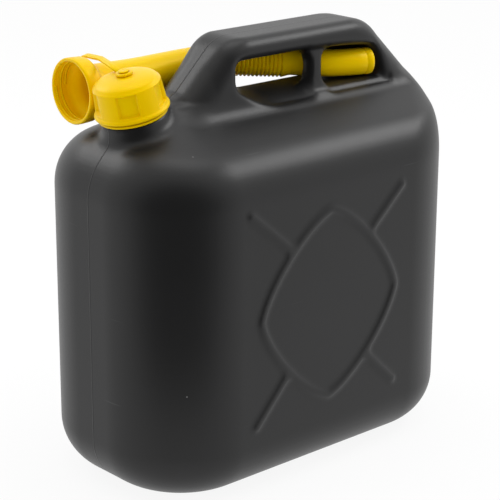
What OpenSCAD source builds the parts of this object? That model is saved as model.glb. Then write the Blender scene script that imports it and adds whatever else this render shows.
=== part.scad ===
// Ten-litre fuel can, blow-moulded in one piece with a hollow grip along the top.
// The flexible pouring spout is stowed through the grip beside the screw cap.
// Millimetres, Z up, origin on the ground under the middle of the can.
// +X runs from the neck end to the plain end, and the mould parting plane is Y = 0.

/* [Can] */
// Length over the two ends
can_l = 300; // [276:1:324]
// Width over the two broad faces
can_w = 169.5; // [157:1:181]
// Plan radius of the upright corners
corner_r = 67.6; // [52:1:72]
// Radius of the rolled edge round the base
base_r = 38.1; // [24:1:40]
// Height over the top of the grip bar
top_z = 311.4; // [300:1:324]
// Drop from the top to the shoulder's corner, where wall and roof would meet
shoulder_drop = 74.3; // [71:0.1:81]
// Radius of the shoulder
shoulder_r = 36.2; // [27:1:42]
// Thickness of the moulded wall
wall = 2.1; // [1.5:0.1:2.9]

/* [Relief] */
// Height of the raised beads on the two broad faces
bead_h = 1.4; // [0.8:0.1:1.8]
// Width of the beads at their foot
bead_w = 9; // [7:0.5:11]
// Half length of the ring, from its middle to its outer edge
ring_half_l = 67; // [60:1:72]
// Height of the ring's lower edge above the ground
ring_low = 61; // [55:0.5:67]
// Drop from the shoulder's corner to the ring's upper edge
ring_drop = 35.1; // [30:0.1:41]

/* [Base] */
// Width of the channel between the two runner feet
channel_w = 24.8; // [15:1:30]
// Depth of the channel
channel_d = 6.7; // [4:0.5:8.5]

/* [Handle] */
// Thickness of the handle from face to face
handle_t = 49.5; // [46:1:53]
// Drop from the top to the line where the roof would meet the handle
foot_drop = 48.5; // [46:0.5:51]
// Radius rolled over the long top edges
handle_edge_r = 10.5; // [6:1:13]
// Height of the grip bar over the opening
bar_h = 15.7; // [14.5:0.1:19]
// Distance of the grip opening from the neck end
grip_inset = 114.8; // [110:0.1:120]
// Length of the grip opening at the front face
grip_l = 72.3; // [66:0.1:76]
// Rise of the roof's ridge above its foot
ridge_rise = 8.5; // [6.5:0.1:10.5]

/* [Nozzle pocket] */
// Thickness of the pillar in front of the spout
web_t = 10.5; // [9:1:13]
// Distance of the pocket that holds the nozzle from the plain end
pocket_inset = 41.4; // [38:0.1:43]
// Depth of the pocket's back wall behind the parting plane
pocket_back = 6.7; // [5:1:9]
// Radius rolled round the pocket's and the grip's front edges
rim_r = 8; // [5:1:9]
// Distance of the pillar's face behind the handle's face
pillar_set = 4; // [2:0.5:6]

/* [Neck] */
// Distance of the neck's centre from the neck end
neck_inset = 39.6; // [36:0.1:45]
// Drop from the top to the cap's lower rim at its centre
neck_drop = 41.7; // [38:0.1:43]
// Lean of the neck away from the handle, in degrees
neck_tilt = 13.8; // [10:0.1:15]
// Radius of the pouring bore
bore_r = 16; // [13.3:0.1:16.7]
// Radius of the neck's core, under the thread
neck_r = 18.5; // [18.1:0.1:18.9]
// Radius of the collar under the strap's ring
collar_r = 22.9; // [22:0.1:23.5]
// Radius of the flare at the neck's root
root_r = 35.2; // [32:0.1:38]
// Depth of the root below the cap's lower rim
root_h = 22.9; // [20:0.1:26]
// Height of the neck's lip above the cap's lower rim
lip_h = 15.6; // [13.3:0.1:16.2]

/* [Cap] */
// Radius of the flared lower rim
cap_rim_r = 26.2; // [25.7:0.1:28.6]
// Height of the cap's skirt, up to the edge of its dome
cap_h = 21; // [20:0.1:21.9]
// Rise of the dome above the skirt
dome_h = 5.7; // [4.8:0.1:6.7]
// Radius of the skirt just above the rim
cap_foot_r = 24.8; // [24.3:0.1:25.7]
// Radius at the top edge
cap_top_r = 23.4; // [23:0.1:24]
// Radius inside the skirt
cap_bore_r = 20.6; // [20.4:0.1:21]
// Number of grip recesses in the skirt
recess_count = 5; // [4:1:6]
// Angle that each recess takes, in degrees
recess_angle = 36; // [24:1:40]
// Depth of a recess
recess_d = 1.8; // [1:0.1:2.1]
// Thickness of the foam seal
seal_t = 2.1; // [1.4:0.1:2.3]

/* [Strap] */
// Thickness of the strap and its two rings
strap_t = 1.7; // [1.4:0.1:2]
// Width of the strap
strap_w = 4.8; // [4:0.5:6.5]
// Radius inside the ring on the neck
ring_bore_r = 20.9; // [20.6:0.1:21.1]
// Radius outside the ring on the neck
ring_r = 24; // [23.4:0.1:24.8]
// Radius of the eyelet on the cap's stud
eyelet_r = 5.9; // [5.1:0.1:6.7]

/* [Spout] */
// Radius over the threaded bell
bell_r = 23.4; // [22.4:0.1:23.8]
// Radius at the wide end of the cone, just behind the bell
cone_r = 16; // [14.3:0.1:16.2]
// Radius over the crests of the corrugated hose
hose_r = 11.6; // [10.5:0.1:12]
// Radius of the nozzle tube
nozzle_r = 9.9; // [9:0.1:10]
// Wall of the spout
spout_wall = 1.5; // [1.1:0.1:1.9]
// Pitch of the corrugations
ring_pitch = 3; // [2.7:0.1:4.8]
// Depth of the corrugations
ring_d = 1.1; // [0.6:0.1:1.3]

/* [Hidden] */
black = "#2b2b2d";
yellow = "#ffd500";
gap = 0.3;
half_l = can_l / 2;
half_w = can_w / 2;
face_w = half_w - bead_h;
half_t = handle_t / 2;
shoulder_z = top_z - shoulder_drop;
foot_z = top_z - foot_drop;
ridge_z = foot_z + ridge_rise;
// Neck end of the handle at the roof and at the top
ridge_x = 68.1 - half_l;
brow_x = 112.9 - half_l;
// Plain end of the handle: corner at the end wall and corner at the top
heel_z = foot_z - 1.9;
toe_x = half_l - 52.9;
grip_top_z = top_z - bar_h;
grip_left_x = grip_inset - half_l;
grip_right_x = grip_left_x + grip_l;
web_left_x = grip_right_x + 1;
web_right_x = web_left_x + web_t;
web_back = 5.7;
pocket_right_x = half_l - pocket_inset;
pocket_low_z = foot_z + 3.8;
neck_x = half_l - neck_inset;
neck_z = top_z - neck_drop;
ring_half_h = (shoulder_z - ring_drop - ring_low) / 2;
ring_z = ring_low + ring_half_h;
round_n = 8;

function unit(v) = v / norm(v);
function cross2(u, v) = u[0] * v[1] - u[1] * v[0];

// Points of an arc of radius r that rounds corner b of the path a, b, c
function fillet(a, b, c, r, n) =
    let (p = unit(a - b), q = unit(c - b), half = acos(p * q) / 2,
         mid = b + unit(p + q) * r / sin(half),
         from = b + p * r / tan(half) - mid, turn = 180 - 2 * half,
         way = cross2(b - a, c - b) > 0 ? 1 : -1)
    [for (k = [0:n]) let (t = way * turn * k / n)
        mid + [from[0] * cos(t) - from[1] * sin(t), from[0] * sin(t) + from[1] * cos(t)]];

// Open path through corners given as [x, z, radius], with the ends left sharp
function soft_path(pts, n) =
    [for (i = [0:len(pts) - 1])
        let (b = [pts[i][0], pts[i][1]])
        each (i == 0 || i == len(pts) - 1 || pts[i][2] == 0 ? [b]
            : fillet([pts[i - 1][0], pts[i - 1][1]], b, [pts[i + 1][0], pts[i + 1][1]],
                     pts[i][2], n))];

// The same for a closed outline
function soft_loop(pts, n) =
    let (m = len(pts))
    [for (i = [0:m - 1])
        let (a = pts[(i + m - 1) % m], b = pts[i], c = pts[(i + 1) % m])
        each fillet([a[0], a[1]], [b[0], b[1]], [c[0], c[1]], b[2], n)];

// Distance from the upright path's axis at height z
function reach(path, z) = lookup(z, [for (p = path) [p[1], p[0]]]);

// Closed skin over rings that all have the same number of points
module skin(rings) {
    n = len(rings[0]);
    m = len(rings);
    points = [for (ring = rings) each ring];
    sides = [for (i = [0:m - 2], j = [0:n - 1])
        let (a = i * n + j, b = i * n + (j + 1) % n, c = a + n, d = b + n)
        each [[a, c, d], [a, d, b]]];
    first = [for (j = [0:n - 1]) j];
    last = [for (j = [n - 1:-1:0]) (m - 1) * n + j];
    polyhedron(points, concat(sides, [first, last]), convexity = 12);
}

// Upright profiles of the can, each a path of [distance, height]
front_path = soft_path([
    [face_w - base_r, 0, 0], [face_w, 0, base_r], [face_w, shoulder_z, shoulder_r],
    [half_t, foot_z, 13.3], [half_t, top_z, handle_edge_r], [0, top_z, 0]], 2 * round_n);
neck_path = soft_path([
    [half_l - base_r, 0, 0], [half_l, 0, base_r], [half_l, shoulder_z + 2.9, shoulder_r + 5.7],
    [-ridge_x, foot_z + 4.8, 11.4], [-brow_x, top_z, 28.6], [0, top_z, 0]], 2 * round_n);
plain_path = soft_path([
    [half_l - base_r, 0, 0], [half_l, 0, base_r], [half_l, heel_z, 21],
    [toe_x, top_z, 40], [0, top_z, 0]], 2 * round_n);

// Corner radius of the level section at height z, a share of its half width above the shoulder
function section_r(z, b) =
    let (s = min(1, max(0, (z - shoulder_z + shoulder_r / 2) / 67)))
    (corner_r - (face_w - b)) * (1 - s) + b * 0.8 * s;

// Level section at height z, drawn in by inset
function section(z, inset, n) =
    let (b = reach(front_path, z) - inset,
         left = -reach(neck_path, z) + inset, right = reach(plain_path, z) - inset,
         r = max(2, min(b - 0.5, section_r(z, b))))
    [for (c = [[right - r, b - r, 0], [left + r, b - r, 90],
               [left + r, r - b, 180], [right - r, r - b, 270]], k = [0:n])
        let (t = c[2] + 90 * k / n) [c[0] + r * cos(t), c[1] + r * sin(t), z]];

// Heights of the level sections, close together where the form turns
function levels(low, high, k) = concat(
    [for (t = [0:k:89]) low + (base_r - low) * (1 - cos(t))],
    [for (s = [0:0.5:0.9]) base_r + s * (shoulder_z - shoulder_r * 0.6 - base_r)],
    [for (z = [shoulder_z - shoulder_r * 0.6:k / 3:foot_z + 8]) z],
    [for (z = [foot_z + 12:k / 1.2:high - handle_edge_r - 2]) z],
    [for (t = [0:k * 1.6:80]) high - handle_edge_r * (1 - sin(t))],
    [high]);

module outer_skin() skin([for (z = levels(0, top_z - 0.1, 9)) section(z, 0, 9)]);
module inner_skin() skin([for (z = levels(wall, top_z - wall - 2, 18)) section(z, wall, 5)]);

// Raised beads of a broad face: a rounded diamond ring with an arm to each corner of the face.
// Both are frustums that stand on the wall, half a millimetre sunk in, with sloping sides
bead_slope = 2.2;
bead_sunk = 0.5;
module frustum(outline, grow)
    skin([for (s = [[face_w - bead_sunk, 0], [half_w, grow]])
        [for (p = outline(s[1])) [p[0], -s[0], p[1]]]]);
function diamond(inset) =
    [for (k = [0:47]) let (t = 360 * (k + 0.5) / 48, c = cos(t), d = sin(t))
        [-1 + (ring_half_l - inset) * sign(c) * pow(abs(c), 4 / 3),
         ring_z + (ring_half_h - inset) * sign(d) * pow(abs(d), 4 / 3)]];
// Arms as [inner x, inner z, outer x, outer z] from the ring's middle, on a ring of 67 by 70.5
arms = [[-40.5, 44.8, -76, 77.5], [38, 45.3, 68, 73.5], [-41.2, -44, -71, -78.5], [36.5, -47.5, 66, -74.5]];
function on_ring(x, z) = [x * ring_half_l / 67, ring_z + z * ring_half_h / 70.5];
function arm_outline(arm, inset) =
    let (a = on_ring(arm[0], arm[1]), b = on_ring(arm[2], arm[3]), w = bead_w / 2 - inset,
         dir = unit(b - a), turn = atan2(dir[1], dir[0]))
    concat([for (k = [0:8]) let (t = turn - 90 + 22.5 * k) b + w * [cos(t), sin(t)]],
           [for (k = [0:8]) let (t = turn + 90 + 22.5 * k) a + w * [cos(t), sin(t)]]);
module face_relief() {
    difference() {
        frustum(function(inset) diamond(inset), bead_slope);
        frustum(function(inset) diamond(bead_w - inset), bead_slope);
    }
    for (arm = arms) frustum(function(inset) arm_outline(arm, inset), bead_slope);
}

// Fall of the ridge from the parting plane to the handle's faces
ridge_fall = ridge_z - foot_z + 1.4;

// Growth of an opening at depth y, where its edge is rolled round to the handle's face
function rim(y) =
    let (d = min(rim_r, max(0, abs(y) - half_t + rim_r))) rim_r - sqrt(rim_r * rim_r - d * d);

// Grip opening at depth y. Its floor is the roof's ridge, its neck side is chamfered,
// and behind the pillar its plain side slants away from the neck
function grip_ring(y, grow) =
    let (t = min(1, abs(y) / half_t), flare = 2.9 * pow(t, 3) + grow,
         floor_z = ridge_z - ridge_fall * pow(t, 1.5) - grow, head_z = grip_top_z + 0.8 * rim(y) + grow,
         slant = 43.8 * min(1, max(0, (y + web_back + 5.7) / (web_back + 7.6))))
    soft_loop([[grip_left_x - flare, head_z, 9.5], [grip_left_x - flare, foot_z + 20.9 - 8.6 * t, 8],
        [grip_left_x + 12.3 + 12.4 * t - grow, floor_z, 9.5], [grip_right_x + flare + slant, floor_z, 6.7],
        [grip_right_x + flare + slant, head_z, 7.6]], 4);
module grip_cut(grow) {
    depths = [2.4, 1, 0.96, 0.85, 0.67, 0.5, 0.15, -0.1, -0.385, -0.6, -0.67, -0.85, -0.96, -1, -2.4];
    skin([for (t = depths) [for (p = grip_ring(t * half_t, grow)) [p[0], t * half_t, p[1]]]]);
}

// Pocket for the nozzle, open to the front, on the plain side of the pillar
module pocket_cut(grow) {
    depths = concat([pocket_back + grow, 0],
        [for (t = [0:22.5:90]) rim_r * (1 - sin(t)) - half_t], [-2 * half_t]);
    skin([for (y = depths)
        let (e = rim(y) + grow, low = pocket_low_z - 0.6 * e)
        [for (p = soft_loop([[web_right_x - grow, low, 4], [pocket_right_x + e, low, 6],
            [pocket_right_x - 6 + e, grip_top_z - 6.2 + 0.8 * e, 7.6], [web_right_x + 19, grip_top_z - 1 + 0.8 * e, 8],
            [web_right_x - grow, grip_top_z - 1 + 0.8 * e, 5]], 4))
            [p[0], y, p[1]]]]);
}

// Front of the pillar, set back behind the rolled rim, with a foot that runs out on the roof
module pillar_cut(grow) {
    skin([for (t = [1, 0.75, 0.5, 0.25, 0, -1])
        let (y = t < 0 ? -2 * half_t : pillar_set * t - half_t,
             low = foot_z + (t < 0 ? -7.5 : 2.2 + 8 * t * t) - grow,
             head = grip_top_z - 1 + 0.8 * (rim(y) + grow))
        [for (p = [[web_left_x - 6, low], [web_right_x + 4, low],
                   [web_right_x + 4, head], [web_left_x - 6, head]])
            [p[0], y + (t < 0 ? 0 : grow), p[1]]]]);
}

module channel_cut(grow) {
    w = channel_w / 2 + grow;
    rotate([90, 0, 90])
        linear_extrude(can_l + 20, center = true)
            polygon([[-w - 3, -1], [-w, channel_d * 0.4], [-w + 5, channel_d + grow],
                [w - 5, channel_d + grow], [w, channel_d * 0.4], [w + 3, -1]]);
}

module at_neck() translate([-neck_x, 0, neck_z]) rotate([0, -neck_tilt, 0]) children();

module neck_solid() {
    shelf_h = ring_h - strap_t / 2 - gap;
    at_neck() rotate_extrude($fn = 54)
        polygon([[0, -root_h], [root_r, -root_h], [collar_r + 6.6, 6.7 - root_h],
            [collar_r + 2.3, 11.5 - root_h], [collar_r + 0.3, 16.2 - root_h], [collar_r, shelf_h],
            [neck_r, shelf_h], [neck_r, lip_h - 1], [neck_r - 1, lip_h], [0, lip_h]]);
}
module neck_bore() {
    at_neck() rotate_extrude($fn = 54)
        polygon([[0, -root_h - 1.9], [bore_r + 5.7, -root_h - 1.9], [bore_r + 2.9, 9.6 - root_h],
            [bore_r, 15.3 - root_h], [bore_r, lip_h + 1], [0, lip_h + 1]]);
}

module can_body() {
    color(black) difference() {
        union() {
            difference() {
                outer_skin();
                difference() {
                    inner_skin();
                    grip_cut(wall);
                    pocket_cut(wall);
                    pillar_cut(wall);
                    channel_cut(wall);
                }
            }
            neck_solid();
            face_relief();
            mirror([0, 1, 0]) face_relief();
        }
        grip_cut(0);
        pocket_cut(0);
        pillar_cut(0);
        channel_cut(0);
        neck_bore();
    }
}

// Cap, turned about the neck's axis, domed and hollow, with a stud for the strap's eyelet
roof_h = lip_h + 2 * gap + seal_t;
apex_h = cap_h + dome_h;
stud_r = 3;
head_h = apex_h + strap_t + 2 * gap;
module cap_blank() {
    rotate_extrude($fn = 96) difference() {
        polygon(concat(
            [[0, 0], [cap_rim_r - 0.8, 0], [cap_rim_r, 0.8], [cap_rim_r, 2], [cap_rim_r - 0.6, 2.8],
             [cap_foot_r, 3.6], [cap_top_r + 0.2, cap_h - 2], [cap_top_r - 0.5, cap_h - 0.6]],
            [for (t = [9:9:72]) [(cap_top_r - 0.5) * cos(t), cap_h - 0.6 + (dome_h + 0.6) * sin(t)]],
            [[stud_r, apex_h], [stud_r, head_h], [stud_r + 0.8, head_h + 0.3],
             [stud_r + 0.5, head_h + 1], [0, head_h + 1.4]]));
        polygon(concat([[-1, -1], [cap_bore_r, -1], [cap_bore_r, roof_h], [cap_bore_r - 2.4, roof_h]],
            [for (t = [10:16:74]) [(cap_bore_r - 2.4) * cos(t), roof_h + (apex_h - 2.2 - roof_h) * sin(t)]],
            [[0, apex_h - 2.2], [-1, apex_h - 2.2]]));
    }
}
module recess() {
    inner = cap_top_r - recess_d + 0.3;
    rotate([0, 0, -recess_angle / 2])
        rotate_extrude(angle = recess_angle, $fn = 96)
            polygon([[inner, 4.2], [cap_rim_r + 3, 4.2], [cap_rim_r + 3, cap_h - 1], [inner, cap_h - 1]]);
}
module screw_cap() {
    color(yellow) at_neck() difference() {
        cap_blank();
        for (k = [0:recess_count - 1]) rotate([0, 0, -131 + k * 360 / recess_count]) recess();
    }
}

module cap_seal() {
    color("#d8d8d0") at_neck() translate([0, 0, lip_h + gap])
        difference() {
            cylinder(h = seal_t, r = cap_bore_r - gap, $fn = 96);
            translate([0, 0, -1]) cylinder(h = seal_t + 2, r = bore_r - 3, $fn = 96);
        }
}

// Middle line of the strap, as [y, height above the cap's rim], round the stowed spout
eyelet_h = apex_h + gap + strap_t / 2;
ring_h = -1.3 - strap_t / 2;
strap_line = soft_path([
    [eyelet_r - 1, eyelet_h, 0], [22.9, eyelet_h + 0.4, 38.1], [38.1, 28.2, 38.1], [59, 27.6, 12.4],
    [69.5, 11.4, 13.3], [64.8, -12.6, 12.4], [38.1, -12.6, 13.3], [ring_bore_r + 0.6, ring_h, 0]], 5);
strap_drift = 9.5;
module strap_ribbon() {
    n = len(strap_line);
    skin([for (i = [0:n - 1])
        let (way = unit(strap_line[min(n - 1, i + 1)] - strap_line[max(0, i - 1)]),
             side = [-way[1], way[0]] * strap_t / 2, a = strap_line[i] + side, b = strap_line[i] - side,
             x = i > n / 2 ? strap_drift : strap_drift * min(1, max(0, (strap_line[i][0] - 6) / 30)))
        [[x - strap_w / 2, a[0], a[1]], [x + strap_w / 2, a[0], a[1]],
         [x + strap_w / 2, b[0], b[1]], [x - strap_w / 2, b[0], b[1]]]]);
}
module flat_ring(outer, inner) {
    difference() {
        cylinder(h = strap_t, r = outer, center = true, $fn = 60);
        cylinder(h = strap_t + 2, r = inner, center = true, $fn = 60);
    }
}
module cap_strap() {
    color(yellow) at_neck() {
        translate([0, 0, eyelet_h]) flat_ring(eyelet_r, stud_r + gap);
        translate([0, 0, ring_h]) flat_ring(ring_r, ring_bore_r);
        strap_ribbon();
    }
}

// Route of the spout's middle line: behind the cap and the post, then forward through the grip.
// Each point is [x on a can 300 long, y, height above the cap's lower rim]
route_points = [
    [-125.2, 49.5, 6.9], [-106.7, 49, 7.3], [-71.4, 47.1, 9], [-42.9, 46.2, 11.3],
    [-19, 44.3, 13.2], [1.9, 37.1, 13.6], [23.8, 23.8, 12.2], [42.9, 10.5, 11.2],
    [59, 0.5, 9.5], [76.2, -7.6, 8.4], [101.9, -16.2, 8]];
spout_route = [for (p = route_points) [p[0] * can_l / 300, p[1], neck_z + p[2]]];

// Catmull-Rom point on segment i at t
function spline(p, i, t) =
    let (a = p[max(0, i - 1)], b = p[i], c = p[i + 1], d = p[min(len(p) - 1, i + 2)])
    0.5 * (2 * b + (c - a) * t + (2 * a - 5 * b + 4 * c - d) * t * t + (3 * b - a - 3 * c + d) * t * t * t);
fine = [for (i = [0:len(spout_route) - 2], t = [0:0.125:0.9]) spline(spout_route, i, t)];
line = concat(fine, [spout_route[len(spout_route) - 1]]);
function run(p, i) = i == 0 ? 0 : norm(p[i] - p[i - 1]);
steps = [for (i = [0:len(line) - 1]) run(line, i)];
lengths = [for (i = 0, s = 0; i < len(line); s = s + (i + 1 < len(line) ? steps[i + 1] : 0), i = i + 1) s];
route_l = lengths[len(lengths) - 1];
function along(axis, s) = lookup(s, [for (i = [0:len(line) - 1]) [lengths[i], line[i][axis]]]);
function at(s) = [along(0, s), along(1, s), along(2, s)];

// Stations of the spout's outside, as [distance from the mouth, radius]
bell_l = 14.3;
cone_l = 87.6;
hose_l = 74.3;
hose_start = bell_l + cone_l;
hose_end = hose_start + hose_l;
ring_n = floor(hose_l / ring_pitch);
outside = concat(
    [[0, bell_r - 0.8], [0.8, bell_r], [bell_l - 3, bell_r - 0.4], [bell_l - 1, bell_r - 1.6],
     [bell_l + 3, cone_r + 0.8], [bell_l + 6, cone_r], [hose_start - 30, (cone_r + hose_r) / 2],
     [hose_start, hose_r]],
    [for (k = [0:ring_n - 1], s = [[0.3, -ring_d], [0.75, 0]])
        [hose_start + (k + s[0]) * ring_pitch, hose_r + s[1]]],
    [[hose_end, nozzle_r + 0.6], [hose_end + 4, nozzle_r],
     [route_l - 1.2, nozzle_r], [route_l, nozzle_r - 0.8]]);
inside = concat(
    [[-1, bell_r - spout_wall - 1], [bell_l - 3, bell_r - spout_wall - 1], [bell_l + 2, cone_r - spout_wall],
     [hose_start - 30, (cone_r + hose_r) / 2 - spout_wall]],
    [for (k = [0:12]) [hose_start + k * hose_l / 12, min(hose_r - ring_d, nozzle_r + 1) - spout_wall]],
    [for (k = [1:4]) [hose_end + k * (route_l - hose_end) / 4 + (k == 4 ? 1 : 0), nozzle_r - spout_wall]]);

// Circle of radius r across the route at distance s
function hoop(s, r, n) =
    let (q = max(0, min(route_l, s)), dir = unit(at(min(route_l, q + 3)) - at(max(0, q - 3))),
         u = unit(cross([0, 0, 1], dir)), v = cross(dir, u), c = at(q) + dir * (s - q))
    [for (k = [0:n - 1]) let (t = 360 * k / n) c + r * (cos(t) * u + sin(t) * v)];
module spout_hose() {
    color(yellow) difference() {
        skin([for (s = outside) hoop(s[0], s[1], 22)]);
        skin([for (s = inside) hoop(s[0], s[1], 18)]);
    }
}

can_body();
screw_cap();
cap_seal();
cap_strap();
spout_hose();
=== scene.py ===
# Ten-litre fuel can of black polyethylene with a yellow screw cap and a stowed pouring spout.
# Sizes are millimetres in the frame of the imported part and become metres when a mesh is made.
import math

import bpy
import numpy as np
from mathutils import Matrix, Vector


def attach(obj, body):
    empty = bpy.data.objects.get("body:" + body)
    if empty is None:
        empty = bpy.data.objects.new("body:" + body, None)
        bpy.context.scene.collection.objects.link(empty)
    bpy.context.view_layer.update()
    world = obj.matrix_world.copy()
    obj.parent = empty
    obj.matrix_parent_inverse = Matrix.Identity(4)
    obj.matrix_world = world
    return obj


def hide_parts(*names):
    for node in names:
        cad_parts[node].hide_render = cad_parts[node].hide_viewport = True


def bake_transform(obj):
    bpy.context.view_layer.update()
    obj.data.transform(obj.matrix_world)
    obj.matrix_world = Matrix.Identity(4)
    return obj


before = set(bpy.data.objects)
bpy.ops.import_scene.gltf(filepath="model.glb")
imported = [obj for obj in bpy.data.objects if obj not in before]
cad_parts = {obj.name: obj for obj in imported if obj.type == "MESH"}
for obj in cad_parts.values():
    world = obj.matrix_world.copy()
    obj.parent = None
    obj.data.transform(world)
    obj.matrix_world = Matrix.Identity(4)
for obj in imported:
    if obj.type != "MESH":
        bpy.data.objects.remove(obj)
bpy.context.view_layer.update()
MM = 0.001

# Driving sizes of the can, as in the part's source
HALF_L, HALF_W = 150.0, 84.75
BEAD_H, BEAD_W, BOW = 1.4, 9.0, 1.4
FACE_W = HALF_W - BEAD_H
RING_LONG, RING_HIGH, RING_Z = 70.0, 74.0, 128.0
TOP_Z = 311.3
BASE_R, CORNER_R = 38.1, 67.6
CHANNEL_HALF_W, CHANNEL_H = 12.4, 6.7
SHOULDER_Z, SHOULDER_R = 237.1, 36.2
HALF_T, EDGE_R = 24.75, 10.5
FOOT_Z, CREST_Z = 262.9, 271.4
GRIP_LEFT, GRIP_RIGHT, GRIP_TOP, GRIP_R = -35.2, 37.1, 295.7, 7.6
RIM_R, FLARE = 8.0, 2.9
WEB_T, PILLAR_SET, PILLAR_BOW_R = 10.5, 4.0, 11.2
SLANT_Y, SLANT_DEPTH, SLANT_RUN = -11.4, 13.3, 43.8
POCKET_RIGHT, POCKET_LOW, POCKET_BACK = 108.6, 266.7, 6.7
NECK = Vector((-110.4, 0.0, 269.7))
TILT = math.radians(13.8)
NECK_R, BORE_R, LIP_H, COLLAR_R = 18.5, 16.0, 15.6, 22.9
THREAD_PITCH = 4.0
CAP_H, DOME_H, CAP_BORE_R = 21.0, 5.7, 20.6
CAP_FOOT_R, CAP_TOP_R, CAP_RIM_R = 24.8, 23.4, 26.2
STUD_R, STRAP_T, STRAP_W, GAP = 3.0, 1.7, 4.8, 0.3
RING_R, RING_BORE_R, EYELET_R = 24.0, 20.9, 5.9
RING_H = -1.3 - STRAP_T / 2
EYELET_H = CAP_H + DOME_H + GAP + STRAP_T / 2


# Mesh helpers

def piece(name, vertices, faces):
    """A smooth mesh object at the origin, its vertices given in millimetres."""
    mesh = bpy.data.meshes.new(name)
    mesh.from_pydata((np.asarray(vertices, float) * MM).tolist(), [], [list(f) for f in faces])
    mesh.validate()
    mesh.shade_smooth()
    obj = bpy.data.objects.new(name, mesh)
    bpy.context.scene.collection.objects.link(obj)
    return obj


def at_neck(points):
    """Points given from the neck's centre along its tilted axis, in the frame."""
    turn = np.array(Matrix.Rotation(-TILT, 3, "Y"))
    return np.asarray(points, float) @ turn.T + np.array(NECK)


def rings_to_faces(rings, count, closed=True):
    """Quads between rings of count points each. A closed run joins the last ring to the first."""
    faces = []
    for i in range(rings if closed else rings - 1):
        j = (i + 1) % rings
        for k in range(count):
            n = (k + 1) % count
            faces.append((i * count + k, i * count + n, j * count + n, j * count + k))
    return faces


def fillet(a, b, c, radius, steps=12):
    """Points of the arc that rounds corner b of the path a, b, c."""
    a, b, c = (np.array(p, float) for p in (a, b, c))
    p, q = (a - b) / np.linalg.norm(a - b), (c - b) / np.linalg.norm(c - b)
    half = math.acos(max(-1, min(1, float(p @ q)))) / 2
    mid = b + (p + q) / np.linalg.norm(p + q) * radius / math.sin(half)
    start = b + p * radius / math.tan(half) - mid
    way = 1 if (b - a)[0] * (c - b)[1] - (b - a)[1] * (c - b)[0] > 0 else -1
    turns = way * (math.pi - 2 * half) * np.linspace(0, 1, steps + 1)
    return [mid + (start[0] * math.cos(t) - start[1] * math.sin(t),
                   start[0] * math.sin(t) + start[1] * math.cos(t)) for t in turns]


def soft_path(corners, steps=12):
    """An open path through [u, v, radius] corners, rounded where the radius isn't zero."""
    path = [np.array(corners[0][:2], float)]
    for a, b, c in zip(corners, corners[1:], corners[2:]):
        path += fillet(a[:2], b[:2], c[:2], b[2], steps) if b[2] else [np.array(b[:2], float)]
    return np.array(path + [np.array(corners[-1][:2], float)])


# The can's skin as a distance field, below zero inside

def smooth_max(a, b, k):
    h = np.clip(k - np.abs(a - b), 0, None) / k
    return np.maximum(a, b) + h * h * k / 4


def smooth_min(a, b, k):
    return -smooth_max(-a, -b, k)


def round_and(a, b, r):
    """Where both hold, with the edge between them rounded to radius r."""
    return np.minimum(np.maximum(a + r, b + r), 0) + np.hypot(np.maximum(a + r, 0), np.maximum(b + r, 0)) - r


def outline_distance(x, z, path):
    """Distance from a convex closed outline in X and Z, below zero inside."""
    shape = np.broadcast(x, z).shape
    px, pz = (np.broadcast_to(v, shape) for v in (x, z))
    best = np.full(shape, 1e9)
    inside = np.full(shape, True)
    for a, b in zip(path, np.roll(path, -1, axis=0)):
        d = b - a
        if d @ d < 1e-9:
            continue
        t = np.clip(((px - a[0]) * d[0] + (pz - a[1]) * d[1]) / (d @ d), 0, 1)
        best = np.minimum(best, np.hypot(px - a[0] - t * d[0], pz - a[1] - t * d[1]))
        inside &= d[0] * (pz - a[1]) - d[1] * (px - a[0]) <= 0
    return np.where(inside, -best, best)


# Upright profiles: how far the can reaches to the front, the neck end and the plain end at each height
BELOW = -60.0
ROOF_APEX = FOOT_Z + HALF_T * (FOOT_Z - SHOULDER_Z) / (FACE_W - HALF_T)
FRONT = soft_path([(FACE_W, BELOW, 0), (FACE_W, SHOULDER_Z, SHOULDER_R), (0.4, ROOF_APEX - 2.2, 0)])
NECK_END = soft_path([(HALF_L, BELOW, 0), (HALF_L, 240.0, 41.9), (81.9, 267.7, 0), (60.0, 276.6, 0)])
PLAIN_END = soft_path([(HALF_L, BELOW, 0), (HALF_L, 261.0, 21.0), (97.1, TOP_Z, 40.0), (0, TOP_Z, 0)])
HANDLE = soft_path([(-105.2, 245.0, 0), (-37.1, TOP_Z, 28.6), (97.1, TOP_Z, 40.0),
                    (HALF_L, 261.0, 21.0), (HALF_L, 245.0, 0)])
END_WALLS = soft_path([(-HALF_L, BELOW, 0), (-HALF_L, TOP_Z, 0), (97.1, TOP_Z, 40.0),
                       (HALF_L, 261.0, 21.0), (HALF_L, BELOW, 0)])


def reach(path, z):
    return np.interp(z, path[:, 1], path[:, 0])


def stack(x, y, z):
    """The can without its handle: rounded rectangles one above the other."""
    b = reach(FRONT, z)
    s = np.clip((z - SHOULDER_Z + SHOULDER_R / 2) / 67.0, 0, 1)
    r = np.clip((CORNER_R - (FACE_W - b)) * (1 - s) + 0.8 * b * s, 2.0, None)
    side = np.where(x > 0, x - reach(PLAIN_END, z), -x - reach(NECK_END, z))
    face = np.abs(y) - b
    plan = np.minimum(np.maximum(side + r, face + r), 0) + np.hypot(
        np.maximum(side + r, 0), np.maximum(face + r, 0)) - r
    return np.maximum(plan, z - CREST_Z)


def slope_free(field, x, y, z, step=0.5):
    """A field divided by its own slope, so that it gives a true distance near the skin."""
    value = field(x, y, z)
    gx = field(x + step, y, z) - field(x - step, y, z)
    gy = field(x, y + step, z) - field(x, y - step, z)
    gz = field(x, y, z + step) - field(x, y, z - step)
    return value * (2 * step) / np.maximum(np.sqrt(gx * gx + gy * gy + gz * gz), step)


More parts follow.
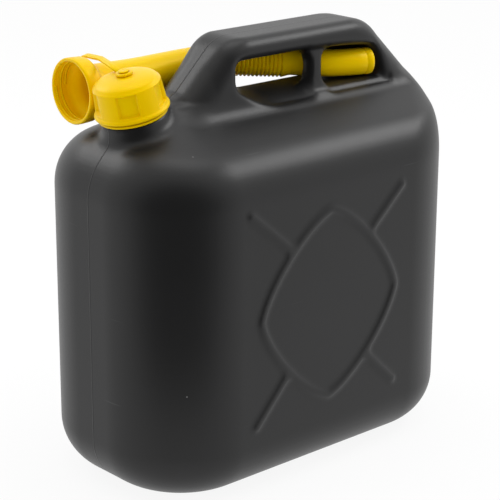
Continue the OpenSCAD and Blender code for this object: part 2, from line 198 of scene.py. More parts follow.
def handle_block(x, y, z):
    """The handle before its openings: rolled edges on top, rounder ones at both ends."""
    roll = EDGE_R + 8.0 * np.clip((np.abs(x - 27.0) - 52.0) / 30.0, 0, 1)
    return round_and(outline_distance(x, z, HANDLE), np.abs(y) - HALF_T, roll)


def rim(y):
    """How far an opening's edge has rolled outwards at depth y, near the handle's faces."""
    d = np.clip(np.abs(y) - (HALF_T - RIM_R), 0, RIM_R)
    return RIM_R - np.sqrt(RIM_R * RIM_R - 0.98 * d * d)


def grip(x, y, z):
    """The grip opening, with its floor on the roof's ridge and its plain side slanting away behind the pillar."""
    t = np.minimum(np.abs(y) / HALF_T, 1.0)
    floor = CREST_Z - (CREST_Z - FOOT_Z + 1.4) * t ** 1.5
    top = GRIP_TOP + 0.8 * rim(y)
    flare = FLARE * t ** 3
    slant = SLANT_RUN * np.clip((y - SLANT_Y) / SLANT_DEPTH, 0, 1)
    left, right = GRIP_LEFT - flare, GRIP_RIGHT + slant + flare
    up = round_and(z - top, floor - z, 8.0)
    across = np.maximum(left - x, x - right)
    toe = np.array([GRIP_LEFT + 12.3 + 12.4 * t, floor + 0 * t])
    run, rise = toe[0] - left, FOOT_Z + 20.9 - 8.6 * t - floor
    low_corner = ((toe[0] - x) * rise + (floor - z) * run) / np.hypot(run, rise)
    end_r = GRIP_R + (PILLAR_BOW_R - GRIP_R) * np.clip((x - 4) / 16, 0, 1) * np.clip((-y - 7) / 5, 0, 1)
    return smooth_max(round_and(up, across, end_r), low_corner, 8.0)


def pocket(x, y, z):
    """The nozzle's pocket, open to the front, rolled outwards along its top and its far end."""
    e = rim(np.minimum(y, 0))
    far, head, near = POCKET_RIGHT + e, GRIP_TOP - 1 + 0.8 * e, GRIP_RIGHT + 1 + WEB_T
    low = POCKET_LOW - 0.6 * e - z
    knee = ((x - near - 19) * 6.2 + (z - head) * 45.0) / 45.4
    top = smooth_max(z - head, knee, 4.0)
    side = x - far - (POCKET_LOW - z) * 0.26
    body = round_and(round_and(top, side, GRIP_R), low, 5.0)
    return np.maximum(round_and(body, near - x, 9.0), y - POCKET_BACK)


def pillar_recess(x, y, z):
    """The space in front of the pillar, whose foot runs out on the roof."""
    depth = y + HALF_T
    low = FOOT_Z + np.where(depth > 0, 2.2 + 8 * (depth / PILLAR_SET) ** 2, 2.2 + 0.4 * depth)
    head = GRIP_TOP - 1 + 0.8 * rim(y)
    sides = np.maximum(GRIP_RIGHT - 5 - x, x - GRIP_RIGHT - WEB_T - 5)
    return np.maximum(np.maximum(sides, depth - PILLAR_SET), np.maximum(z - head, low - z))


def beads(x, z):
    """Height of the raised X on a broad face: a rounded diamond ring with an arm to each corner."""
    u, v = np.abs(x + 1) / RING_LONG, np.abs(z - RING_Z) / RING_HIGH
    f = np.maximum(u ** BOW + v ** BOW, 1e-6)
    slope = f ** (1 / BOW - 1) * np.sqrt((u ** (BOW - 1) / RING_LONG) ** 2 + (v ** (BOW - 1) / RING_HIGH) ** 2)
    band = np.abs((f ** (1 / BOW) - 1) / np.maximum(slope, 1e-4) + BEAD_W / 2) - BEAD_W / 2
    for ax, az, bx, bz in ARMS:
        dx, dz = bx - ax, bz - az
        t = np.clip(((x - ax) * dx + (z - RING_Z - az) * dz) / (dx * dx + dz * dz), 0, 1)
        band = smooth_min(band, np.hypot(x - ax - t * dx, z - RING_Z - az - t * dz) - BEAD_W / 2, 6.0)
    q = np.clip(-band / 3.6, 0, 1)
    return BEAD_H * q * q * (3 - 2 * q)


# Middle lines of the arms from the ring out, as X and height from the ring's middle
ARMS = [(-40.7, 48.7, -76.5, 78.5), (41.5, 49.3, 69.5, 74.5),
        (-43.0, -45.5, -71.0, -76.0), (38.0, -49.5, 65.0, -75.0)]


def neck_parts(x, y, z):
    """Height along the neck's axis and distance from it."""
    dx, dz = x - NECK.x, z - NECK.z
    w = dz * math.cos(TILT) - dx * math.sin(TILT)
    across = dx * math.cos(TILT) + dz * math.sin(TILT)
    return w, np.hypot(across, y)


COLLAR_TOP = RING_H - STRAP_T / 2 - GAP


def can_field(x, y, z):
    relief = np.where(np.abs(y) > FACE_W - 8, beads(x, z), 0)
    body = round_and(slope_free(stack, x, y, z) - relief, -z, BASE_R)
    soft = np.clip(-outline_distance(x, z, END_WALLS), 0.5, 11.0)
    body = smooth_min(body, handle_block(x, y, z), soft)
    w, r = neck_parts(x, y, z)
    collar = np.maximum(round_and(r - COLLAR_R, w - COLLAR_TOP, 1.5), -w - 30.0)
    body = smooth_min(body, collar, 9.0)
    body = smooth_max(body, -grip(x, y, z), 3.0)
    body = smooth_max(body, -pocket(x, y, z), 3.0)
    body = smooth_max(body, -pillar_recess(x, y, z), 3.0)
    body = np.maximum(body, z - TOP_Z + 0.02)
    channel = round_and(np.abs(y) - CHANNEL_HALF_W - 0.25 * np.clip(CHANNEL_H - z, 0, 7), z - CHANNEL_H, 2.5)
    body = smooth_max(body, -channel, 2.5)
    stem = np.maximum(round_and(r - NECK_R, w - LIP_H, 1.0), -w - 5.0)
    body = np.minimum(body, stem)
    return np.maximum(body, -np.maximum(r - BORE_R, -w - 22.0))


def surface_net(field, low, high, step):
    """A smooth quad mesh over the zero level of a field, one vertex in each cell that it crosses."""
    axes = [np.arange(a, b + step, step) for a, b in zip(low, high)]
    value = field(axes[0][:, None, None], axes[1][None, :, None], axes[2][None, None, :])
    value = np.broadcast_to(value, [len(a) for a in axes])
    inside = value < 0
    total = np.zeros([n - 1 for n in value.shape] + [3])
    hits = np.zeros([n - 1 for n in value.shape])
    for axis in range(3):
        others = [k for k in range(3) if k != axis]
        lo = [slice(None)] * 3
        hi = [slice(None)] * 3
        lo[axis], hi[axis] = slice(0, -1), slice(1, None)
        a, b = value[tuple(lo)], value[tuple(hi)]
        cross = (a < 0) != (b < 0)
        share = np.where(cross, a / np.where(cross, a - b, 1), 0)
        for i in (0, 1):
            for j in (0, 1):
                cut = [slice(None)] * 3
                cut[others[0]] = slice(i, value.shape[others[0]] - 1 + i)
                cut[others[1]] = slice(j, value.shape[others[1]] - 1 + j)
                c, s = cross[tuple(cut)], share[tuple(cut)]
                total[..., axis] += np.where(c, s, 0)
                total[..., others[0]] += c * i
                total[..., others[1]] += c * j
                hits += c
    used = hits > 0
    index = np.full(used.shape, -1)
    index[used] = np.arange(used.sum())
    cell = np.argwhere(used)
    points = (cell + total[used] / hits[used][:, None]) * step + np.array([a[0] for a in axes])
    quads = []
    for axis in range(3):
        u, v = (axis + 1) % 3, (axis + 2) % 3
        lo, hi = [slice(1, -1)] * 3, [slice(1, -1)] * 3
        lo[axis], hi[axis] = slice(0, -1), slice(1, None)
        a, b = inside[tuple(lo)], inside[tuple(hi)]
        for at in (np.argwhere(a & ~b), np.argwhere(~a & b)):
            base = at.copy()
            base[:, u] += 1
            base[:, v] += 1
            du, dv = np.eye(3, dtype=int)[u], np.eye(3, dtype=int)[v]
            corners = [base - du - dv, base - dv, base, base - du]
            quad = np.stack([index[tuple(c.T)] for c in corners], axis=1)
            quads.append(quad if len(quads) % 2 == 0 else quad[:, ::-1])
    for _ in range(3):
        p = points.T
        f = field(*p)
        g = np.stack([(field(*(p + e[:, None])) - field(*(p - e[:, None]))) / 0.4
                      for e in 0.2 * np.eye(3)], axis=1)
        move = -(f / np.maximum((g * g).sum(1), 0.04))[:, None] * g
        reachable = np.linalg.norm(move, axis=1, keepdims=True)
        points = points + move * np.minimum(1, step * 0.6 / np.maximum(reachable, 1e-9))
    return points, np.concatenate(quads)


NET = 2.2
points, quads = surface_net(can_field, (-HALF_L - 4, -HALF_W - 4, -4), (HALF_L + 4, HALF_W + 4, TOP_Z + 4), NET)
can = piece("moulded_can", points, quads)
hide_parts("can_body")
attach(can, "root")


# The screw cap: a lathe whose skirt steps in at the grip recesses

RECESSES, RECESS_ANGLE, RECESS_FROM, RECESS_D = 5, 36.0, -131.0, 1.8
RECESS_LOW, RECESS_HIGH = 4.2, 19.8


def recess_share(turn, h):
    """How far a point of the skirt lies in a recess, from 0 to 1."""
    pitch = 360.0 / RECESSES
    off = (turn - RECESS_FROM + pitch / 2) % pitch - pitch / 2
    side = np.clip((RECESS_ANGLE / 2 - np.abs(off)) / 1.6, 0, 1)
    low, high = np.clip((h - RECESS_LOW) / 0.7, 0, 1), np.clip((RECESS_HIGH - h) / 1.0, 0, 1)
    s = side * low * high
    return s * s * (3 - 2 * s)


def cap_points(count=360):
    roof_h, apex = LIP_H + 2 * GAP + 2.1, CAP_H + DOME_H
    skirt = [(CAP_FOOT_R + (CAP_TOP_R + 0.2 - CAP_FOOT_R) * (h - 3.6) / (CAP_H - 5.6), h)
             for h in np.concatenate([[3.6, 4.0], np.linspace(4.2, 4.9, 4), np.linspace(6, 18, 7),
                                      np.linspace(18.8, 19.8, 5)])]
    edge_r, edge_h = CAP_TOP_R - 1.2, CAP_H - 1.2
    shoulder = [(edge_r + 1.35 * math.cos(t), edge_h + 1.35 * math.sin(t)) for t in np.radians([8, 25, 42, 58])]
    dome = [(edge_r * math.cos(t), CAP_H + 0.1 + (DOME_H - 0.1) * math.sin(t)) for t in np.radians(range(8, 82, 5))]
    rim = [(CAP_RIM_R - 1.0, 0), (CAP_RIM_R - 0.35, 0.2), (CAP_RIM_R, 0.8), (CAP_RIM_R, 1.8), (CAP_RIM_R - 0.3, 2.5),
           (CAP_RIM_R - 0.9, 2.95), (CAP_FOOT_R + 0.2, 3.2)]
    top = apex + STRAP_T + 2 * GAP
    stud = [(STUD_R + 0.8, apex), (STUD_R, apex + 0.15), (STUD_R, top), (STUD_R + 0.6, top + 0.15),
            (STUD_R + 0.75, top + 0.45), (STUD_R + 0.5, top + 0.8), (STUD_R - 0.6, top + 0.95), (0.02, top + 1.0)]
    inner_r = CAP_BORE_R - 2.4
    hollow = [(0.02, apex - 2.2)] + [(inner_r * math.cos(t), roof_h + (apex - 2.2 - roof_h) * math.sin(t))
                                     for t in np.radians([80, 60, 40, 20, 6])]
    bore = [(inner_r, roof_h), (CAP_BORE_R, roof_h), (CAP_BORE_R, 0.8), (CAP_BORE_R + 0.5, 0)]
    profile = np.array(rim + skirt + shoulder + dome + stud + hollow + bore)
    turns = np.arange(count) * 360.0 / count
    r, h = profile[:, 0][:, None], profile[:, 1][:, None]
    outer = np.arange(len(profile)) < len(rim) + len(skirt) + len(shoulder)
    radius = r - np.where(outer[:, None], recess_share(turns[None, :], h) * (RECESS_D + (r - CAP_TOP_R) * 0.8), 0)
    a = np.radians(turns)[None, :]
    grid = np.stack([radius * np.cos(a), radius * np.sin(a), np.broadcast_to(h, radius.shape)], axis=-1)
    return grid.reshape(-1, 3), len(profile), count


cap_grid, cap_rings, cap_count = cap_points()
cap = piece("screw_cap_shell", at_neck(cap_grid), rings_to_faces(cap_rings, cap_count))
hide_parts("screw_cap")
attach(cap, "cap")


# The spout: rings along its route, out over the bell, cone, corrugations and nozzle and back inside

ROUTE = np.array([(-125.2, 49.5, 276.6), (-106.7, 49, 277), (-71.4, 47.1, 278.7), (-42.9, 46.2, 281),
                  (-19, 44.3, 282.9), (1.9, 37.1, 283.3), (23.8, 23.8, 281.9), (42.9, 10.5, 280.9),
                  (59, 0.5, 279.2), (76.2, -7.6, 278.1), (101.9, -16.2, 277.7)])
BELL_R, CONE_R, HOSE_R, NOZZLE_R, SPOUT_WALL = 23.4, 16.0, 11.6, 9.9, 1.5
BELL_L, CONE_L, HOSE_L, CORRUGATION, CORRUGATION_D = 14.3, 87.6, 74.3, 3.0, 1.1
# One corrugation: share of its length and share of its depth
WAVE = ((0.12, 0.55), (0.26, 0.95), (0.38, 1.0), (0.52, 0.55), (0.66, 0.08), (0.82, 0.0), (1.0, 0.12))


def smooth_route(points, step=0.5):
    """The route as a Catmull-Rom line with even steps, and its length."""
    p = np.concatenate([[points[0]], points, [points[-1]]])
    fine = []
    for i in range(1, len(p) - 2):
        a, b, c, d = p[i - 1:i + 3]
        for t in np.arange(0, 1, 0.02):
            fine.append(0.5 * (2 * b + (c - a) * t + (2 * a - 5 * b + 4 * c - d) * t * t
                               + (3 * b - a - 3 * c + d) * t ** 3))
    fine = np.array(fine + [points[-1]])
    s = np.concatenate([[0], np.cumsum(np.linalg.norm(np.diff(fine, axis=0), axis=1))])
    even = np.arange(0, s[-1] + step / 2, step)
    return np.stack([np.interp(even, s, fine[:, k]) for k in range(3)], axis=1), s[-1]


def hoops(line, total, stations, count):
    """Rings of count points across the line at each [distance, radius]."""
    s = np.linspace(0, total, len(line))
    at = lambda d: np.stack([np.interp(d, s, line[:, k]) for k in range(3)], axis=-1)
    rows = []
    for d, r in stations:
        q = min(max(d, 0), total)
        way = at(min(q + 3, total)) - at(max(q - 3, 0))
        way /= np.linalg.norm(way)
        u = np.cross((0, 0, 1), way)
        u /= np.linalg.norm(u)
        v = np.cross(way, u)
        a = np.linspace(0, 2 * math.pi, count, endpoint=False)[:, None]
        rows.append(at(q) + way * (d - q) + r * (np.cos(a) * u + np.sin(a) * v))
    return np.array(rows)


def spout_stations(total):
    hose_0 = BELL_L + CONE_L
    hose_1 = hose_0 + HOSE_L
    out = [(0.0, BELL_R - 1.0), (0.25, BELL_R - 0.35), (0.9, BELL_R), (3.0, BELL_R), (7, BELL_R - 0.2),
           (BELL_L - 3.5, BELL_R - 0.4), (BELL_L - 2.0, BELL_R - 1.0), (BELL_L - 0.8, BELL_R - 2.4),
           (BELL_L + 0.6, CONE_R + 2.6), (BELL_L + 2.4, CONE_R + 1.0), (BELL_L + 4.5, CONE_R + 0.2)]
    out += [(s, CONE_R + (HOSE_R - CONE_R) * (s - BELL_L - 7) / (CONE_L - 7))
            for s in np.linspace(BELL_L + 7, hose_0, 16)]
    rings = int(HOSE_L / CORRUGATION)
    for k in range(rings):
        for share, depth in WAVE:
            out.append((hose_0 + (k + share) * CORRUGATION, HOSE_R - CORRUGATION_D * depth))
    out += [(hose_1 + 2, NOZZLE_R + 0.35)] + [(s, NOZZLE_R) for s in np.linspace(hose_1 + 4, total - 7.2, 9)]
    out += [(total - 6.6, NOZZLE_R - 0.35), (total - 6.0, NOZZLE_R - 0.5), (total - 5.4, NOZZLE_R - 0.3),
            (total - 4.9, NOZZLE_R), (total - 1.8, NOZZLE_R), (total - 0.7, NOZZLE_R - 0.3),
            (total - 0.1, NOZZLE_R - 0.9)]
    inner = [(total, NOZZLE_R - SPOUT_WALL)]
    inner += [(s, NOZZLE_R - SPOUT_WALL) for s in np.linspace(total - 2, hose_1, 8)]
    inner += [(s, HOSE_R - CORRUGATION_D - SPOUT_WALL) for s in np.linspace(hose_1 - 4, hose_0, 14)]
    bore = BELL_R - SPOUT_WALL - 1
    inner += [(BELL_L + 6, CONE_R - SPOUT_WALL), (BELL_L + 2, CONE_R - 1.0), (BELL_L - 0.5, BELL_R - 5),
              (BELL_L - 2.2, bore - 0.2), (BELL_L - 4, bore), (1.0, bore), (0.2, bore + 0.3)]
    return out + inner


route, route_l = smooth_route(ROUTE)
spout_rings = hoops(route, route_l, spout_stations(route_l), 72)
spout = piece("pouring_spout", spout_rings.reshape(-1, 3), rings_to_faces(len(spout_rings), 72))
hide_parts("spout_hose")
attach(spout, "root")


# The tether: a ring on the neck, a ribbon round the spout and an eyelet on the cap's stud

STRAP_LINE = soft_path([(EYELET_R - 1, EYELET_H, 0), (22.9, EYELET_H + 0.4, 38.1), (38.1, 28.2, 38.1),
                        (59, 27.6, 12.4), (69.5, 11.4, 13.3), (64.8, -12.6, 12.4), (38.1, -12.6, 13.3),
                        (RING_BORE_R + 0.6, RING_H, 0)], 8)
STRAP_DRIFT = 9.5


def flat_ring(outer, inner, thick, h, count):
    """Rings of a washer with softened edges, round the neck's axis at height h."""
    e = 0.3
    profile = [(outer - e, -thick / 2), (outer, -thick / 2 + e), (outer, thick / 2 - e), (outer - e, thick / 2),
               (inner + e, thick / 2), (inner, thick / 2 - e), (inner, -thick / 2 + e), (inner + e, -thick / 2)]
    a = np.linspace(0, 2 * math.pi, count, endpoint=False)
    return np.concatenate([np.stack([r * np.cos(a), r * np.sin(a), np.full(count, h + z)], axis=1)
                           for r, z in profile])


def strap_ribbon():
    line = STRAP_LINE
    n = len(line)
    rows = []
    e = 0.35
    section = [(-STRAP_W / 2 + e, 1), (STRAP_W / 2 - e, 1), (STRAP_W / 2, 0.5), (STRAP_W / 2, -0.5),
               (STRAP_W / 2 - e, -1), (-STRAP_W / 2 + e, -1), (-STRAP_W / 2, -0.5), (-STRAP_W / 2, 0.5)]
    for i in range(n):
        way = line[min(n - 1, i + 1)] - line[max(0, i - 1)]
        way /= np.linalg.norm(way)
        side = np.array([-way[1], way[0]]) * STRAP_T / 2
        x = STRAP_DRIFT if i > n / 2 else STRAP_DRIFT * min(1, max(0, (line[i][0] - 6) / 29))
        rows.append([(x + u, *(line[i] + side * s)) for u, s in section])
    return np.array(rows)


ribbon = strap_ribbon()
ribbon_faces = rings_to_faces(len(ribbon), 8, closed=False) + [tuple(range(8))[::-1],
                                                              tuple(range(len(ribbon) * 8 - 8, len(ribbon) * 8))]
parts = [(ribbon.reshape(-1, 3), ribbon_faces)]
for outer, inner, h, count in ((RING_R, RING_BORE_R, RING_H, 160), (EYELET_R, STUD_R + GAP, EYELET_H, 64)):
    parts.append((flat_ring(outer, inner, STRAP_T, h, count), rings_to_faces(8, count)))
strap_points, strap_faces = [], []
for pts, faces in parts:
    offset = sum(len(p) for p in strap_points)
    strap_points.append(pts)
    strap_faces += [tuple(i + offset for i in f) for f in faces]
strap = piece("cap_tether", at_neck(np.concatenate(strap_points)), strap_faces)
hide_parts("cap_strap")
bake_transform(strap)


# Node helpers

def linear(hex_colour):
    """An sRGB hex colour as linear RGBA."""
    srgb = [int(hex_colour[i:i + 2], 16) / 255 for i in (1, 3, 5)]
    return tuple(c / 12.92 if c <= 0.04045 else ((c + 0.055) / 1.055) ** 2.4 for c in srgb) + (1.0,)


def add_node(tree, kind, inputs=(), **settings):
    """Adds a node, sets its attributes, and gives each input a value or a link from a socket."""
    node = tree.nodes.new(kind)
    for name, value in settings.items():
        setattr(node, name, value)
    for key, source in inputs:
        if isinstance(source, bpy.types.NodeSocket):
            tree.links.new(source, node.inputs[key])
        else:
            node.inputs[key].default_value = source
    return node


def empty_material(name):
    material = bpy.data.materials.new(name)
    material.use_nodes = True
    material.node_tree.nodes.clear()
    return material, material.node_tree


# Materials

SCRATCH_SIZE = (55.0, 40.0, 1.6)
SPECK_CELL, SPECK_R, SPECK_RARITY = 17.0, 0.032, 0.72
SEAM_HALF_W = 0.7


def moulded_plastic(name, colour, deep, worn, roughness, grain_mm, grain_depth, gloss_level, sheen="#ffffff",
                    scatter=0.0, seam=0.0):
    """Polyethylene with a satin skin, faintly uneven in colour and gloss, with scuffs, specks and a parting line."""
    material, tree = empty_material(name)
    place = add_node(tree, "ShaderNodeTexCoord").outputs["Object"]
    # Broad clouds keep large faces from looking flat
    cloud = add_node(tree, "ShaderNodeTexNoise", [("Vector", place), ("Scale", 1000 / 60.0), ("Detail", 2.0)])
    tint = add_node(tree, "ShaderNodeMix", [("Factor", cloud.outputs["Fac"]), (6, linear(colour)), (7, linear(deep))],
                    data_type="RGBA")
    # Fine grain left by the mould breaks up the reflections
    grain = add_node(tree, "ShaderNodeTexNoise", [("Vector", place), ("Scale", 1000 / grain_mm), ("Detail", 3.0)])
    gloss = add_node(tree, "ShaderNodeMapRange", [("Value", grain.outputs["Fac"]), ("To Min", roughness - 0.05),
                                                  ("To Max", roughness + 0.05)])
    # Thin scratches, drawn out along one direction, show as paler hairlines
    drawn = add_node(tree, "ShaderNodeMapping", [("Vector", place), ("Scale", [1000 / mm for mm in SCRATCH_SIZE]),
                                                 ("Rotation", (0.15, 0.25, 0.1))])
    streak = add_node(tree, "ShaderNodeTexNoise", [("Vector", drawn.outputs["Vector"]), ("Scale", 1.0),
                                                   ("Detail", 1.0)])
    hair = add_node(tree, "ShaderNodeMapRange", [("Value", streak.outputs["Fac"]), ("From Min", 0.76),
                                                 ("From Max", 0.84), ("To Max", 0.14)])
    # A few pale dust specks, in the rarer cells only
    cells = add_node(tree, "ShaderNodeTexVoronoi", [("Vector", place), ("Scale", 1000 / SPECK_CELL)])
    near = add_node(tree, "ShaderNodeMath", [(0, cells.outputs["Distance"]), (1, SPECK_R)], operation="LESS_THAN")
    rare = add_node(tree, "ShaderNodeMath", [(0, cells.outputs["Color"]), (1, SPECK_RARITY)],
                    operation="GREATER_THAN")
    speck = add_node(tree, "ShaderNodeMath", [(0, near.outputs[0]), (1, rare.outputs[0])], operation="MULTIPLY")
    wear = add_node(tree, "ShaderNodeMath", [(0, hair.outputs["Result"]), (1, speck.outputs[0])],
                    operation="MAXIMUM")
    skin = add_node(tree, "ShaderNodeMix", [("Factor", wear.outputs[0]), (6, tint.outputs[2]), (7, linear(worn))],
                    data_type="RGBA")
    # The mould's parting line stands up along the middle plane
    y = add_node(tree, "ShaderNodeSeparateXYZ", [("Vector", place)]).outputs["Y"]
    off = add_node(tree, "ShaderNodeMath", [(0, y)], operation="ABSOLUTE")
    line = add_node(tree, "ShaderNodeMapRange", [("Value", off.outputs[0]), ("From Max", SEAM_HALF_W * MM),
                                                 ("To Min", seam), ("To Max", 0.0)], interpolation_type="SMOOTHSTEP")
    height = add_node(tree, "ShaderNodeMath", [(0, grain.outputs["Fac"]), (1, line.outputs["Result"])],
                      operation="ADD")
    bump = add_node(tree, "ShaderNodeBump", [("Height", height.outputs[0]), ("Strength", 0.35),
                                             ("Distance", grain_depth * MM)])
    shader = add_node(tree, "ShaderNodeBsdfPrincipled", [
        ("Base Color", skin.outputs[2]), ("Roughness", gloss.outputs["Result"]), ("Normal", bump.outputs["Normal"]),
        ("IOR", 1.52), ("Specular IOR Level", gloss_level), ("Specular Tint", linear(sheen)),
        ("Subsurface Weight", scatter), ("Subsurface Radius", (0.004, 0.002, 0.0004)), ("Subsurface Scale", 1.0)])
    add_node(tree, "ShaderNodeOutputMaterial", [("Surface", shader.outputs["BSDF"])])
    return material


black_hdpe = moulded_plastic("blow_moulded_black_polyethylene", "#161616", "#1a1a1b", "#6b6b6b",
                             0.38, 1.4, 0.12, 0.34, seam=6.0)
yellow_cap = moulded_plastic("injection_moulded_yellow_polyethylene", "#f7cf00", "#f2c600", "#fbe36a",
                             0.34, 2.0, 0.04, 0.4, "#ffd400", 0.2)
yellow_spout = moulded_plastic("blow_moulded_yellow_polyethylene", "#f6cd00", "#f0c200", "#fbe36a",
                               0.36, 1.6, 0.07, 0.4, "#ffd400", 0.25)
pale_foam = moulded_plastic("closed_cell_foam", "#cfcfc4", "#bdbdb2", "#b0b0a4", 0.8, 0.6, 0.2, 0.3)


# Threads: one Geometry Nodes tree winds a spiral and sweeps a small round section along it

def thread_tree():
    tree = bpy.data.node_groups.new("wound_thread", "GeometryNodeTree")
    sockets = {label: tree.interface.new_socket(label, in_out="INPUT", socket_type="NodeSocket" + kind)
               for label, kind in (("Radius", "Float"), ("Pitch", "Float"), ("Turns", "Float"), ("Section", "Float"),
                                   ("Place", "Vector"), ("Lean", "Vector"), ("Material", "Material"))}
    tree.interface.new_socket("Geometry", in_out="OUTPUT", socket_type="NodeSocketGeometry")
    given = add_node(tree, "NodeGroupInput").outputs
    rise = add_node(tree, "ShaderNodeMath", [(0, given["Pitch"]), (1, given["Turns"])], operation="MULTIPLY")
    spiral = add_node(tree, "GeometryNodeCurveSpiral", [
        ("Resolution", 48), ("Rotations", given["Turns"]), ("Start Radius", given["Radius"]),
        ("End Radius", given["Radius"]), ("Height", rise.outputs[0])])
    ring = add_node(tree, "GeometryNodeCurvePrimitiveCircle", [("Resolution", 10), ("Radius", given["Section"])])
    swept = add_node(tree, "GeometryNodeCurveToMesh", [
        ("Curve", spiral.outputs[0]), ("Profile Curve", ring.outputs[0]), ("Fill Caps", True)])
    placed = add_node(tree, "GeometryNodeTransform", [
        ("Geometry", swept.outputs[0]), ("Translation", given["Place"]), ("Rotation", given["Lean"])])
    real = add_node(tree, "GeometryNodeRealizeInstances", [("Geometry", placed.outputs[0])])
    dressed = add_node(tree, "GeometryNodeSetMaterial", [
        ("Geometry", real.outputs[0]), ("Material", given["Material"])])
    add_node(tree, "NodeGroupOutput", [("Geometry", dressed.outputs[0])])
    return tree, {label: socket.identifier for label, socket in sockets.items()}


THREAD, THREAD_INPUTS = thread_tree()


def wound_thread(name, start, way, radius, section, turns, body, material):
    """A thread from a start point along a direction, on one of the bodies."""
    base = piece(name + "_base", [(0, 0, 0)], [])
    modifier = base.modifiers.new("thread", "NODES")
    modifier.node_group = THREAD
    values = {"Radius": radius * MM, "Pitch": THREAD_PITCH * MM, "Turns": turns, "Section": section * MM,
              "Place": [c * MM for c in start], "Lean": list(Vector(way).to_track_quat("Z", "Y").to_euler()),
              "Material": material}
    for label, value in values.items():
        modifier[THREAD_INPUTS[label]] = value
    bpy.context.view_layer.update()
    mesh = bpy.data.meshes.new_from_object(base.evaluated_get(bpy.context.evaluated_depsgraph_get()))
    bpy.data.objects.remove(base)
    mesh.shade_smooth()
    obj = bpy.data.objects.new(name, mesh)
    bpy.context.scene.collection.objects.link(obj)
    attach(obj, body)
    return obj


NECK_WAY = (-math.sin(TILT), 0, math.cos(TILT))
neck_thread = wound_thread("neck_thread", at_neck([[0, 0, 2.6]])[0], NECK_WAY, NECK_R, 1.0, 2.5,
                           "root", black_hdpe)
cap_thread = wound_thread("cap_thread", at_neck([[0, 0, 3.4]])[0], NECK_WAY, CAP_BORE_R + 0.2, 0.9, 2.25,
                          "cap", yellow_cap)
mouth = Vector(route[4] - route[0]).normalized()
mouth_thread = wound_thread("spout_thread", Vector(route[0]) + mouth * 2.2, mouth, BELL_R - SPOUT_WALL - 0.7, 0.9, 2.0,
                            "root", yellow_spout)

for obj, material in ((can, black_hdpe), (cap, yellow_cap), (strap, yellow_cap), (spout, yellow_spout),
                      (neck_thread, black_hdpe), (cap_thread, yellow_cap), (mouth_thread, yellow_spout),
                      (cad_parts["cap_seal"], pale_foam)):
    obj.data.materials.clear()
    obj.data.materials.append(material)


# Stage, light and camera

WHITE = (1, 1, 1, 1)
TOWARDS = Vector((-0.67, -0.742, 0))
ALONG = Vector((0.742, -0.67, 0))
SHEET_FRONT, SHEET_REACH = 0.32, 6


def background_ray(tree):
    """One for what the camera sees itself, in a mirror or through glass."""
    path = add_node(tree, "ShaderNodeLightPath").outputs
    shiny = add_node(tree, "ShaderNodeMath", [(0, path["Is Glossy Ray"]), (1, path["Is Transmission Ray"])],
                     operation="MAXIMUM")
    seen = add_node(tree, "ShaderNodeMath", [(0, path["Is Camera Ray"]), (1, shiny.outputs[0])], operation="MAXIMUM")
    return seen.outputs[0]


def white_paper():
    """Matt white paper, plain white to the eye and in reflections, with only a soft trace of the shadow."""
    material, tree = empty_material("matt_white_paper")
    matt = add_node(tree, "ShaderNodeBsdfDiffuse", [("Color", linear("#fbfbfb"))])
    glow = add_node(tree, "ShaderNodeEmission", [("Color", WHITE), ("Strength", 1.0)])
    share = add_node(tree, "ShaderNodeMath", [(0, background_ray(tree)), (1, 0.9)], operation="MULTIPLY")
    both = add_node(tree, "ShaderNodeMixShader", [(0, share.outputs[0]), (1, matt.outputs[0]), (2, glow.outputs[0])])
    add_node(tree, "ShaderNodeOutputMaterial", [("Surface", both.outputs[0])])
    return material


# The sheet of paper ends in front of the can, and behind the camera the room is dark
floor_mesh = bpy.data.meshes.new("studio_floor")
floor_mesh.from_pydata([tuple(TOWARDS * a + ALONG * b + Vector((0, 0, -0.0002))) for a, b in
                        ((SHEET_FRONT, -SHEET_REACH), (SHEET_FRONT, SHEET_REACH), (-SHEET_REACH, SHEET_REACH),
                         (-SHEET_REACH, -SHEET_REACH))], [], [(3, 2, 1, 0)])
floor = bpy.data.objects.new("studio_floor", floor_mesh)
bpy.context.scene.collection.objects.link(floor)
floor_mesh.materials.append(white_paper())

world = bpy.data.worlds.new("studio")
world.use_nodes = True
bpy.context.scene.world = world
sky = world.node_tree
sky.nodes.clear()
level = add_node(sky, "ShaderNodeMapRange", [("Value", background_ray(sky)), ("To Min", 0.75), ("To Max", 1.0)])
way = add_node(sky, "ShaderNodeTexCoord").outputs["Generated"]
facing = add_node(sky, "ShaderNodeVectorMath", [(0, way), (1, TOWARDS)], operation="DOT_PRODUCT")
room = add_node(sky, "ShaderNodeMapRange", [("Value", facing.outputs["Value"]), ("From Min", 0.35), ("From Max", 0.85),
                                            ("To Min", 1.0), ("To Max", 0.1)], interpolation_type="SMOOTHSTEP")
glossy = add_node(sky, "ShaderNodeLightPath").outputs["Is Glossy Ray"]
plain = add_node(sky, "ShaderNodeMath", [(0, 1.0), (1, glossy)], operation="SUBTRACT")
dim = add_node(sky, "ShaderNodeMath", [(0, room.outputs["Result"]), (1, plain.outputs[0])], operation="MAXIMUM")
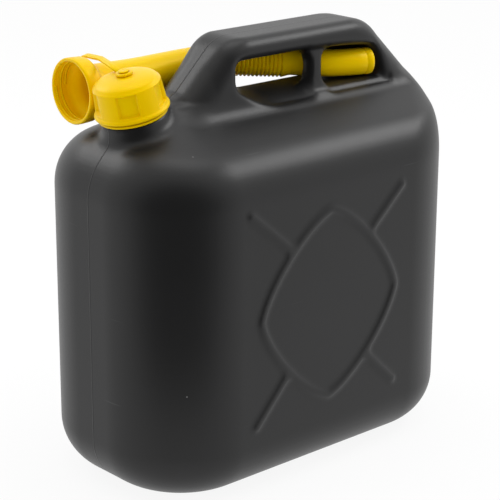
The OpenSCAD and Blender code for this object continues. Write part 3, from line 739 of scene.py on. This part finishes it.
strength = add_node(sky, "ShaderNodeMath", [(0, level.outputs["Result"]), (1, dim.outputs[0])], operation="MULTIPLY")
air = add_node(sky, "ShaderNodeBackground", [("Color", WHITE), ("Strength", strength.outputs[0])])
add_node(sky, "ShaderNodeOutputWorld", [("Surface", air.outputs["Background"])])


def soft_box(name, place, aim, size, power):
    light = bpy.data.lights.new(name, "AREA")
    light.shape, light.size, light.size_y, light.energy = "RECTANGLE", size[0], size[1], power
    lamp = bpy.data.objects.new(name, light)
    bpy.context.scene.collection.objects.link(lamp)
    lamp.location = place
    lamp.rotation_euler = (Vector(aim) - Vector(place)).to_track_quat("-Z", "Y").to_euler()
    return lamp


soft_box("right_box", (0.96, -0.44, 1.2), (0, 0, 0.2), (0.75, 0.5), 6.5)
soft_box("left_back_box", (-0.44, 1.07, 1.1), (0, 0, 0.2), (0.8, 0.5), 4.5)
soft_box("top_box", (0.1, 0.1, 1.8), (0, 0, 0.2), (1.0, 0.8), 4.5)

# The camera stands where the photograph's stood, found from the can's own edges
AZIMUTH, ELEVATION, ROLL = math.radians(-42.087), math.radians(17.982), math.radians(0.27)
DISTANCE, AIM_RIGHT, AIM_UP = 1314.19, -1.856, -2.966
camera_data = bpy.data.cameras.new("camera")
camera_data.sensor_width = 36.0
camera_data.lens = 128.26
camera = bpy.data.objects.new("camera", camera_data)
bpy.context.scene.collection.objects.link(camera)
level_l = math.cos(ELEVATION)
back = Vector((math.sin(AZIMUTH) * level_l, -math.cos(AZIMUTH) * level_l, math.sin(ELEVATION)))
right = Vector((math.cos(AZIMUTH), math.sin(AZIMUTH), 0))
up = back.cross(right)
right_r = math.cos(ROLL) * right + math.sin(ROLL) * up
up_r = -math.sin(ROLL) * right + math.cos(ROLL) * up
camera.matrix_world = Matrix.Translation(
    (Vector((0, 0, 150)) + back * DISTANCE + right_r * AIM_RIGHT + up_r * AIM_UP) * MM
) @ Matrix((right_r, up_r, back)).transposed().to_4x4()
camera_data.clip_start, camera_data.clip_end = 0.05, 50.0
bpy.context.scene.camera = camera
bpy.context.scene.view_settings.view_transform = "Standard"
